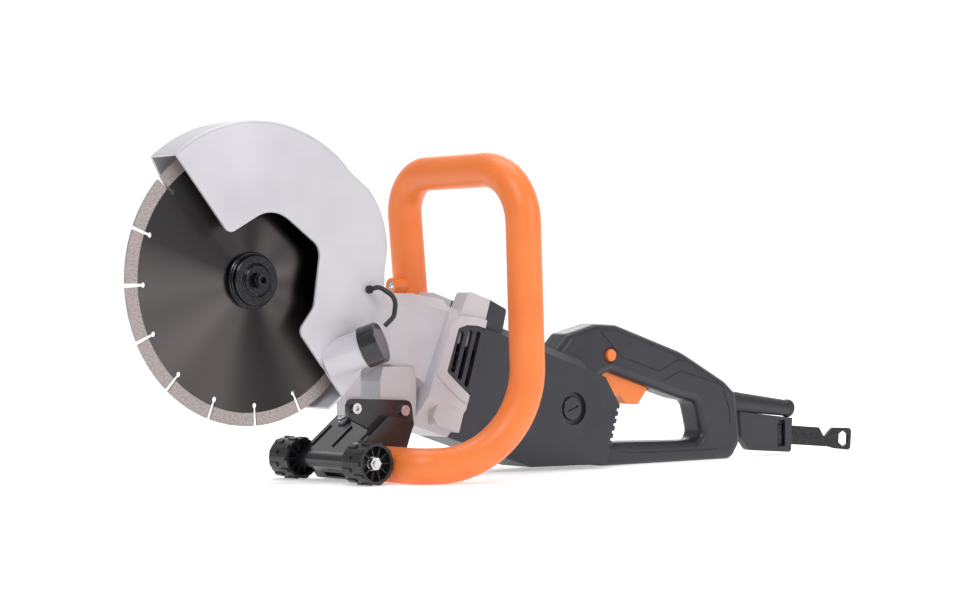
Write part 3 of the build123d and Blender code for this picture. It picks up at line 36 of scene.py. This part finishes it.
# ---- material kit ---------------------------------------------------------------------------
class Nodes:
    """A few helpers for building one node material."""

    def __init__(self, name):
        self.material = bpy.data.materials.new(name)
        self.material.use_nodes = True
        self.tree = self.material.node_tree
        self.shader = self.tree.nodes["Principled BSDF"]
        self.place = self.new("ShaderNodeTexCoord").outputs["Object"]

    def new(self, kind, **inputs):
        node = self.tree.nodes.new(kind)
        for key, value in inputs.items():
            self.put(node, key.replace("_", " "), value)
        return node

    def put(self, node, key, value):
        socket = node.inputs[key]
        if isinstance(value, bpy.types.NodeSocket):
            self.tree.links.new(value, socket)
        else:
            socket.default_value = value

    def noise(self, scale, detail=2.0, roughness=0.5, place=None):
        node = self.new("ShaderNodeTexNoise", Scale=scale, Detail=detail, Roughness=roughness)
        self.tree.links.new(place or self.place, node.inputs["Vector"])
        return node.outputs["Fac"]

    def ramp(self, value, low, high, start=0.0, end=1.0):
        """Maps a value from start..end to low..high; colours or numbers."""
        if isinstance(low, (int, float)):
            node = self.new("ShaderNodeMapRange", Value=value, From_Min=start, From_Max=end,
                            To_Min=low, To_Max=high)
            return node.outputs["Result"]
        node = self.new("ShaderNodeValToRGB", Fac=value)
        node.color_ramp.elements[0].position = start
        node.color_ramp.elements[1].position = end
        node.color_ramp.elements[0].color = (*low, 1)
        node.color_ramp.elements[1].color = (*high, 1)
        return node.outputs["Color"]

    def math(self, operation, first, second=0.0):
        node = self.new("ShaderNodeMath")
        node.operation = operation
        for socket, value in zip(node.inputs, (first, second)):
            if isinstance(value, bpy.types.NodeSocket):
                self.tree.links.new(value, socket)
            else:
                socket.default_value = value
        return node.outputs["Value"]

    def mix(self, factor, first, second):
        node = self.new("ShaderNodeMix")
        node.data_type = "RGBA"
        for index, value in ((0, factor), (6, first), (7, second)):
            if isinstance(value, bpy.types.NodeSocket):
                self.tree.links.new(value, node.inputs[index])
            elif index == 0:
                node.inputs[0].default_value = value
            else:
                node.inputs[index].default_value = (*value, 1)
        return node.outputs[2]

    def edges(self, radius=0.0009):
        """A mask that is 1 on sharp edges and 0 on flat faces, and the softened normal."""
        bevel = self.new("ShaderNodeBevel", Radius=radius)
        bevel.samples = 4
        flat = self.new("ShaderNodeNewGeometry").outputs["Normal"]
        dot = self.new("ShaderNodeVectorMath")
        dot.operation = "DOT_PRODUCT"
        self.tree.links.new(bevel.outputs["Normal"], dot.inputs[0])
        self.tree.links.new(flat, dot.inputs[1])
        return self.ramp(dot.outputs["Value"], 1.0, 0.0, 0.75, 0.99), bevel.outputs["Normal"]

    def finish(self, colour, roughness, metallic=0.0, coat=0.0, bumps=(), radius=0.0009):
        """Sets the shader; bumps are (height, strength, distance in m), softened at the edges."""
        self.put(self.shader, "Base Color", colour if isinstance(colour, bpy.types.NodeSocket)
                 else (*colour, 1))
        self.put(self.shader, "Roughness", roughness)
        self.put(self.shader, "Metallic", metallic)
        self.put(self.shader, "Coat Weight", coat)
        self.put(self.shader, "Coat Roughness", 0.25)
        normal = self.edges(radius)[1]
        for height, strength, distance in bumps:
            bump = self.new("ShaderNodeBump", Strength=strength, Distance=distance,
                            Height=height)
            self.tree.links.new(normal, bump.inputs["Normal"])
            normal = bump.outputs["Normal"]
        self.put(self.shader, "Normal", normal)
        return self.material


def lacquered_casting():
    """Satin grey lacquer over a light-alloy casting, with a faint cast skin."""
    m = Nodes("grey_lacquer")
    skin = m.noise(900, 3)
    waves = m.noise(14, 2)
    painted_edge_highlight, _ = m.edges(0.0007)
    colour = m.ramp(waves, (0.52, 0.508, 0.545), (0.60, 0.588, 0.625), 0.3, 0.7)
    # painted highlight: the lacquer's colour turns lighter along sharp edges
    colour = m.mix(m.math("MULTIPLY", painted_edge_highlight, 0.25), colour, (0.74, 0.73, 0.76))
    return m.finish(colour, m.ramp(m.noise(60, 3), 0.33, 0.46), 0.15, 0.12,
                    ((skin, 0.10, 0.0002), (waves, 0.12, 0.0006)))


def moulded_plastic(name, low, high, rough=(0.42, 0.56), grain=1500.0, strength=0.28, coat=0.0):
    """Injection-moulded plastic with a fine spark-eroded grain."""
    m = Nodes(name)
    fine = m.noise(grain, 2)
    broad = m.noise(22, 3)
    painted_edge_highlight, _ = m.edges(0.0006)
    colour = m.ramp(broad, low, high, 0.3, 0.7)
    # painted highlight: sharp edges are mixed toward a lighter tint of the plastic
    colour = m.mix(m.math("MULTIPLY", painted_edge_highlight, 0.18), colour,
                   tuple(min(1.0, c * 1.9 + 0.01) for c in high))
    return m.finish(colour, m.ramp(broad, *rough), 0.0, coat, ((fine, strength, 0.00012),))


def plated_steel(name, low, high, rough=(0.2, 0.34), scale=420.0, strength=0.12):
    """Plated or ground steel with a fine mottle."""
    m = Nodes(name)
    mottle = m.noise(scale, 4)
    return m.finish(m.ramp(mottle, low, high, 0.35, 0.7), m.ramp(m.noise(70, 3), *rough),
                    1.0, 0.0, ((mottle, strength, 0.0001),), radius=0.0005)


def polar_place(m, centre):
    """Distance from the blade's axis in metres, and the unit vector pointing away from it."""
    shifted = m.new("ShaderNodeVectorMath")
    shifted.operation = "SUBTRACT"
    m.tree.links.new(m.place, shifted.inputs[0])
    shifted.inputs[1].default_value = centre
    parts = m.new("ShaderNodeSeparateXYZ", Vector=shifted.outputs["Vector"]).outputs
    squares = m.math("ADD", m.math("MULTIPLY", parts["X"], parts["X"]),
                     m.math("MULTIPLY", parts["Z"], parts["Z"]))
    r = m.math("SQRT", squares)
    unit = m.new("ShaderNodeCombineXYZ", X=m.math("DIVIDE", parts["X"], r),
                 Z=m.math("DIVIDE", parts["Z"], r))
    return r, unit.outputs["Vector"]


def turned_disc():
    """Dark tensioned steel ground in rings about the spindle, with a painted sheen of lighter
    streaks that fan out from the centre.
    """
    m = Nodes("blade_steel")
    r, direction = polar_place(m, at(0, 0, 0))
    rings = m.new("ShaderNodeTexNoise", Scale=1.0, Detail=4.0)
    rings.noise_dimensions = "1D"
    m.put(rings, "W", m.math("MULTIPLY", r, 2600.0))
    ring = rings.outputs["Fac"]
    # painted sheen: broad lighter streaks that fan out from the centre, laid into the colour
    painted_sheen_fan = m.noise(1.15, 1.2, 0.5, direction)
    colour = m.mix(m.ramp(painted_sheen_fan, 0.0, 1.0, 0.40, 0.68),
                   m.ramp(ring, (0.030, 0.028, 0.030), (0.052, 0.048, 0.050), 0.3, 0.7),
                   (0.125, 0.112, 0.110))
    m.put(m.shader, "Anisotropic", 0.85)
    tangent = m.new("ShaderNodeTangent")
    tangent.direction_type = "RADIAL"
    tangent.axis = "Y"
    m.put(m.shader, "Tangent", tangent.outputs["Tangent"])
    return m.finish(colour, m.ramp(ring, 0.30, 0.42), 1.0, 0.0, ((ring, 0.15, 0.00008),))


def sintered_segment():
    """Diamond segments: bronze-grey matrix with light grit and dark pores."""
    m = Nodes("diamond_segment")
    grit = m.new("ShaderNodeTexVoronoi", Scale=1100.0)
    m.tree.links.new(m.place, grit.inputs["Vector"])
    cells = grit.outputs["Distance"]
    pores = m.noise(520, 4, 0.7)
    base = m.ramp(pores, (0.27, 0.225, 0.22), (0.48, 0.42, 0.405), 0.36, 0.62)
    colour = m.mix(m.ramp(cells, 0.5, 0.0, 0.12, 0.34), base, (0.64, 0.60, 0.58))
    return m.finish(colour, m.ramp(pores, 0.75, 0.5), 0.35, 0.0,
                    ((cells, 0.5, 0.0002), (pores, 0.4, 0.0002)))


def wound_copper():
    """Enamelled copper turns."""
    m = Nodes("copper_turns")
    turns = m.new("ShaderNodeTexWave", Scale=300.0, Distortion=1.5, Detail=2.0)
    m.tree.links.new(m.place, turns.inputs["Vector"])
    lines = turns.outputs["Fac"]
    return m.finish(m.ramp(lines, (0.22, 0.07, 0.03), (0.75, 0.34, 0.17)),
                    m.ramp(lines, 0.4, 0.25), 0.9, 0.0, ((lines, 0.6, 0.0003),))


MATERIALS = {
    "lilac_casting": lacquered_casting(),
    "bare_alloy": plated_steel("bare_alloy", (0.50, 0.50, 0.51), (0.72, 0.72, 0.73), (0.3, 0.45)),
    "dark_plastic": moulded_plastic("dark_plastic", (0.014, 0.014, 0.021), (0.022, 0.022, 0.032),
                                    (0.36, 0.48), coat=0.12),
    "black_rubber": moulded_plastic("black_rubber", (0.014, 0.014, 0.018), (0.022, 0.022, 0.027),
                                    (0.42, 0.55), 900.0, 0.2),
    "roller_rubber": moulded_plastic("roller_black", (0.010, 0.010, 0.012),
                                     (0.018, 0.018, 0.021), (0.26, 0.38), 1200.0, 0.15),
    "orange_rubber": moulded_plastic("orange_grip", (0.84, 0.190, 0.036), (0.90, 0.225, 0.045),
                                     (0.36, 0.46), 1300.0, 0.16, 0.06),
    "orange_plastic": moulded_plastic("orange_plastic", (0.86, 0.20, 0.036),
                                      (0.92, 0.235, 0.046), (0.3, 0.4), 1500.0, 0.1, 0.1),
    "bright_steel": plated_steel("zinc_plate", (0.55, 0.56, 0.58), (0.83, 0.84, 0.85)),
    "dark_steel": plated_steel("black_oxide", (0.030, 0.030, 0.033), (0.060, 0.060, 0.064),
                               (0.22, 0.36)),
    "ground_steel": plated_steel("ground_steel", (0.40, 0.40, 0.41), (0.60, 0.60, 0.61)),
    "blade_steel": turned_disc(),
    "diamond_segment": sintered_segment(),
    "copper": wound_copper(),
    "carbon": moulded_plastic("carbon_block", (0.02, 0.02, 0.02), (0.05, 0.05, 0.05)),
}
SLOT_OF = {entry["node"]: entry["material_slot"] for entry in frame["record"]["subparts"]}
SLOT_OF["trigger"] = "orange_plastic"


def dress(obj, material, angle=28.0):
    """Gives a mesh its material and smooth shading between its sharp edges."""
    obj.data.materials.clear()
    obj.data.materials.append(material)
    obj.data.shade_smooth()
    obj.data.set_sharp_from_angle(angle=math.radians(angle))


for name, node in NODES.items():
    dress(node, MATERIALS[SLOT_OF[name]])
dress(NODES["lock_off_button"], MATERIALS["orange_plastic"])
gloss = moulded_plastic("gloss_black", (0.010, 0.010, 0.013), (0.016, 0.016, 0.020),
                        (0.16, 0.26), 700.0, 0.08, 0.3)
for name in ("dust_cap", "brush_caps", "roller_bracket"):
    dress(NODES[name], gloss)


# ---- studio ---------------------------------------------------------------------------------
def backdrop():
    """A pale floor that curves up into a wall behind the saw."""
    mesh = bmesh.new()
    run, height, bend, width = 5.0, 4.0, 1.5, 14.0
    back = Vector((0.65, 0.76, 0)).normalized()
    along = Vector((back.y, -back.x, 0))
    profile = [(-6.0, 0.0), (run - bend, 0.0)]
    steps = 16
    for k in range(1, steps + 1):
        turn = math.pi / 2 * k / steps
        profile.append((run - bend + bend * math.sin(turn), bend - bend * math.cos(turn)))
    profile.append((run, height + bend))
    rows = []
    for out, up in profile:
        rows.append([mesh.verts.new(back * out + along * s * width / 2 + Vector((0, 0, up)))
                     for s in (-1, 1)])
    for first, second in zip(rows, rows[1:]):
        mesh.faces.new((first[0], first[1], second[1], second[0]))
    data = bpy.data.meshes.new("backdrop")
    mesh.to_mesh(data)
    mesh.free()
    sweep = bpy.data.objects.new("backdrop", data)
    bpy.context.scene.collection.objects.link(sweep)
    data.shade_smooth()
    m = Nodes("paper_white")
    grain = m.noise(3, 2)
    m.put(m.shader, "Emission Color", (1.0, 1.0, 1.0, 1))
    m.put(m.shader, "Emission Strength", 0.42)
    data.materials.append(m.finish(m.ramp(grain, (0.88, 0.88, 0.885), (0.91, 0.91, 0.915)),
                                   0.9, 0.0))


backdrop()


def area_light(name, place, target, size, power, colour=(1, 1, 1)):
    light = bpy.data.lights.new(name, "AREA")
    light.shape = "RECTANGLE"
    light.size, light.size_y = size
    light.energy = power
    light.color = colour
    lamp = bpy.data.objects.new(name, light)
    bpy.context.scene.collection.objects.link(lamp)
    lamp.location = place
    lamp.rotation_euler = (Vector(target) - Vector(place)).to_track_quat("-Z", "Y").to_euler()
    return lamp


area_light("key", (-2.2, -1.6, 2.6), (-0.1, 0, 0.1), (1.5, 1.1), 40)
area_light("fill", (0.9, -2.6, 1.2), (0.1, 0, 0.1), (1.6, 1.0), 17)
area_light("top", (0.2, 0.3, 2.6), (0, 0, 0.1), (2.0, 1.0), 26)
area_light("rim", (1.6, 1.8, 1.6), (0, 0, 0.15), (1.4, 1.2), 18)

world = bpy.data.worlds.new("studio")
bpy.context.scene.world = world
world.use_nodes = True
sky = world.node_tree.nodes["Background"]
sky.inputs["Color"].default_value = (1.0, 1.0, 1.0, 1)
sky.inputs["Strength"].default_value = 0.42

# ---- camera ---------------------------------------------------------------------------------
AZIMUTH, ELEVATION = math.radians(-40.73), math.radians(-0.24)
BACK = Vector((math.sin(AZIMUTH) * math.cos(ELEVATION),
               -math.cos(AZIMUTH) * math.cos(ELEVATION), math.sin(ELEVATION)))
LENS, DISTANCE = 86.25, 2407.8                 # mm
AIM_RIGHT, AIM_UP = 241.0, -20.4               # the picture's centre from the blade's, mm

camera_data = bpy.data.cameras.new("camera")
camera_data.sensor_width = 36.0
camera_data.lens = LENS
camera = bpy.data.objects.new("camera", camera_data)
bpy.context.scene.collection.objects.link(camera)
right = Vector((math.cos(AZIMUTH), math.sin(AZIMUTH), 0))
up = BACK.cross(right)
place = at(0, 0, 0) + (BACK * DISTANCE + right * AIM_RIGHT + up * AIM_UP) * MM
camera.matrix_world = Matrix((
    (right.x, up.x, BACK.x, place.x), (right.y, up.y, BACK.y, place.y),
    (right.z, up.z, BACK.z, place.z), (0, 0, 0, 1)))
camera_data.clip_end = 50
bpy.context.scene.camera = camera
bpy.context.scene.view_settings.view_transform = "Standard"
